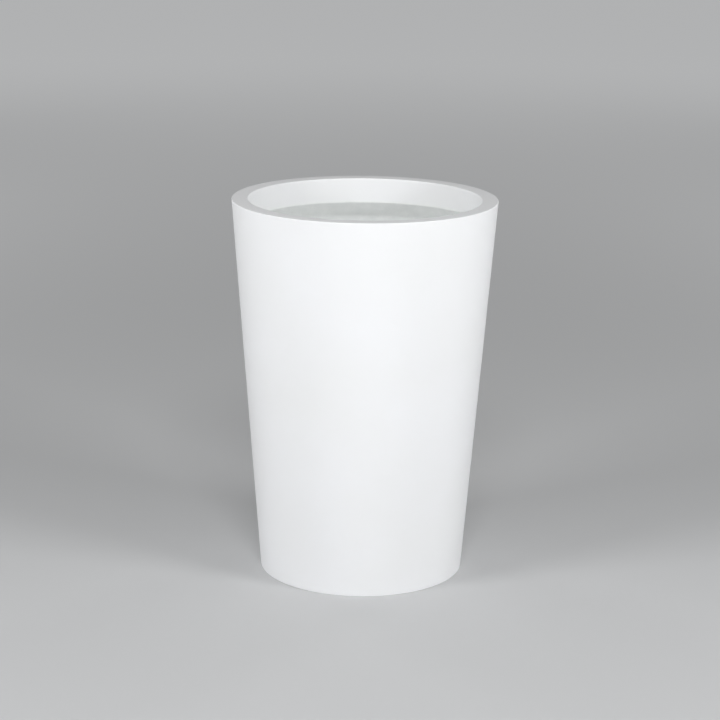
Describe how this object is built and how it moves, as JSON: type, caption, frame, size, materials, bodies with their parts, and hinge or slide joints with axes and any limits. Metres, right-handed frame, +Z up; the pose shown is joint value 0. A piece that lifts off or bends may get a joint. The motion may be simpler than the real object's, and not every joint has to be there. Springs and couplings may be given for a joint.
{
  "type": "tall tapered floor planter",
  "caption": "Tall round planter, tapering to its base, with a flat turned-in rim, a raised floor and a drain with a bung.",
  "frame": {"origin": "on the floor at the centre of the planter's lower edge", "axes": "+Z up along the planter's axis"},
  "size_m": [0.6346, 0.6346, 0.9144],
  "materials": {
    "painted_laminate": "satin white paint",
    "raw_laminate": "unpainted glass laminate",
    "foam": "cut rigid foam",
    "plywood": "unfinished plywood",
    "bush_plastic": "moulded",
    "bung_rubber": "moulded"
  },
  "bodies": {
    "planter": {"outer_shell": "painted_laminate", "rim_collar": "painted_laminate", "rim_core": "foam", "rim_capping": "raw_laminate", "base_pan": "raw_laminate", "base_core": "plywood", "floor_lining": "raw_laminate", "drain_bush": "bush_plastic"},
    "bung": {"drain_plug": "bung_rubber"}
  },
  "joints": [
    {"name": "bung_pull", "type": "slide", "parent": "planter", "child": "bung", "axis": [0, 0, 1], "range_m": [0, 0.04]}
  ]
}
